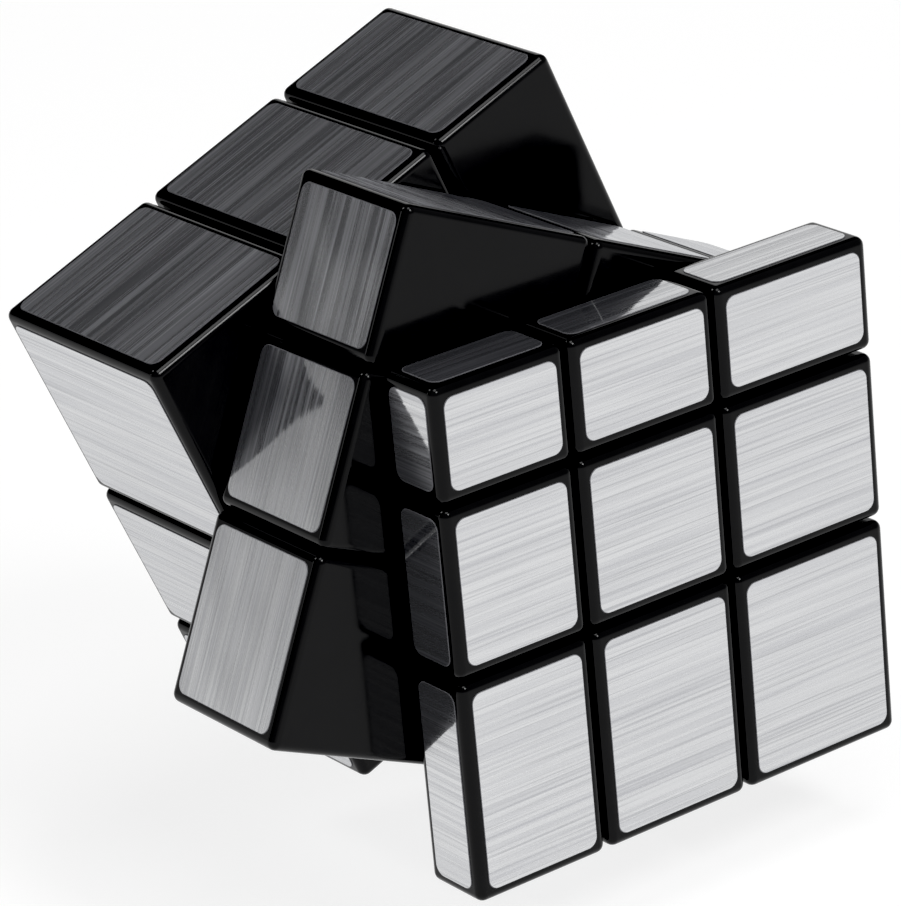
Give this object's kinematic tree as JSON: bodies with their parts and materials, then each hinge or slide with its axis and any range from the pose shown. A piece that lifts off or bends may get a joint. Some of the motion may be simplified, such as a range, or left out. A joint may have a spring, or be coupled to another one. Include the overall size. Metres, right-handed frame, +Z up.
{
  "type": "twisty puzzle cube",
  "caption": "Mirror-style twisty puzzle with unequal black blocks under brushed silver foil, its three parallel layers turned out of line with one another on a hidden core.",
  "frame": {"origin": "centre of the front layer's flat outer face, where the turning axis of the layers comes out of it", "axes": "+Y along the turning axis, from the front layer through the core to the back layer; +Z up, along the front layer's columns, towards its thinnest row; +X to the right along its rows, towards its widest column"},
  "size_m": [0.0754, 0.0565, 0.0774],
  "materials": {
    "block_plastic": "glossy black moulded ABS",
    "inner_plastic": "plain black moulded ABS",
    "core_plastic": "dark grey moulded nylon",
    "screw_steel": "zinc plated steel",
    "washer_steel": "plain steel",
    "spring_steel": "drawn spring wire",
    "silver_foil": "silver foil labels of the visual model, mirror-like under fine lengthwise brushing"
  },
  "bodies": {
    "middle_layer": {"centre_base_bottom": "inner_plastic", "centre_base_left": "inner_plastic", "centre_base_right": "inner_plastic", "centre_base_top": "inner_plastic", "centre_cap_bottom": "block_plastic", "centre_cap_left": "block_plastic", "centre_cap_right": "block_plastic", "centre_cap_top": "block_plastic", "core": "core_plastic", "edge_bottom_left": "block_plastic", "edge_bottom_right": "block_plastic", "edge_top_left": "block_plastic", "edge_top_right": "block_plastic", "screw_back": "screw_steel", "screw_bottom": "screw_steel", "screw_front": "screw_steel", "screw_left": "screw_steel", "screw_right": "screw_steel", "screw_top": "screw_steel", "spring_back": "spring_steel", "spring_bottom": "spring_steel", "spring_front": "spring_steel", "spring_left": "spring_steel", "spring_right": "spring_steel", "spring_top": "spring_steel", "washer_back": "washer_steel", "washer_bottom": "washer_steel", "washer_front": "washer_steel", "washer_left": "washer_steel", "washer_right": "washer_steel", "washer_top": "washer_steel"},
    "front_layer": {"corner_foot_front_bottom_left": "inner_plastic", "corner_foot_front_bottom_right": "inner_plastic", "corner_foot_front_top_left": "inner_plastic", "corner_foot_front_top_right": "inner_plastic", "corner_shell_front_bottom_left": "block_plastic", "corner_shell_front_bottom_right": "block_plastic", "corner_shell_front_top_left": "block_plastic", "corner_shell_front_top_right": "block_plastic", "edge_front_bottom": "block_plastic", "edge_front_left": "block_plastic", "edge_front_right": "block_plastic", "edge_front_top": "block_plastic", "centre_base_front": "inner_plastic", "centre_cap_front": "block_plastic"},
    "back_layer": {"corner_foot_back_bottom_left": "inner_plastic", "corner_foot_back_bottom_right": "inner_plastic", "corner_foot_back_top_left": "inner_plastic", "corner_foot_back_top_right": "inner_plastic", "corner_shell_back_bottom_left": "block_plastic", "corner_shell_back_bottom_right": "block_plastic", "corner_shell_back_top_left": "block_plastic", "corner_shell_back_top_right": "block_plastic", "edge_back_bottom": "block_plastic", "edge_back_left": "block_plastic", "edge_back_right": "block_plastic", "edge_back_top": "block_plastic", "centre_base_back": "inner_plastic", "centre_cap_back": "block_plastic"}
  },
  "joints": [
    {"name": "front_layer_turn", "type": "hinge", "parent": "middle_layer", "child": "front_layer", "pos_m": [0, 0.01825, 0], "axis": [0, 1, 0], "continuous": true},
    {"name": "back_layer_turn", "type": "hinge", "parent": "middle_layer", "child": "back_layer", "pos_m": [0, 0.01825, 0], "axis": [0, 1, 0], "continuous": true}
  ]
}
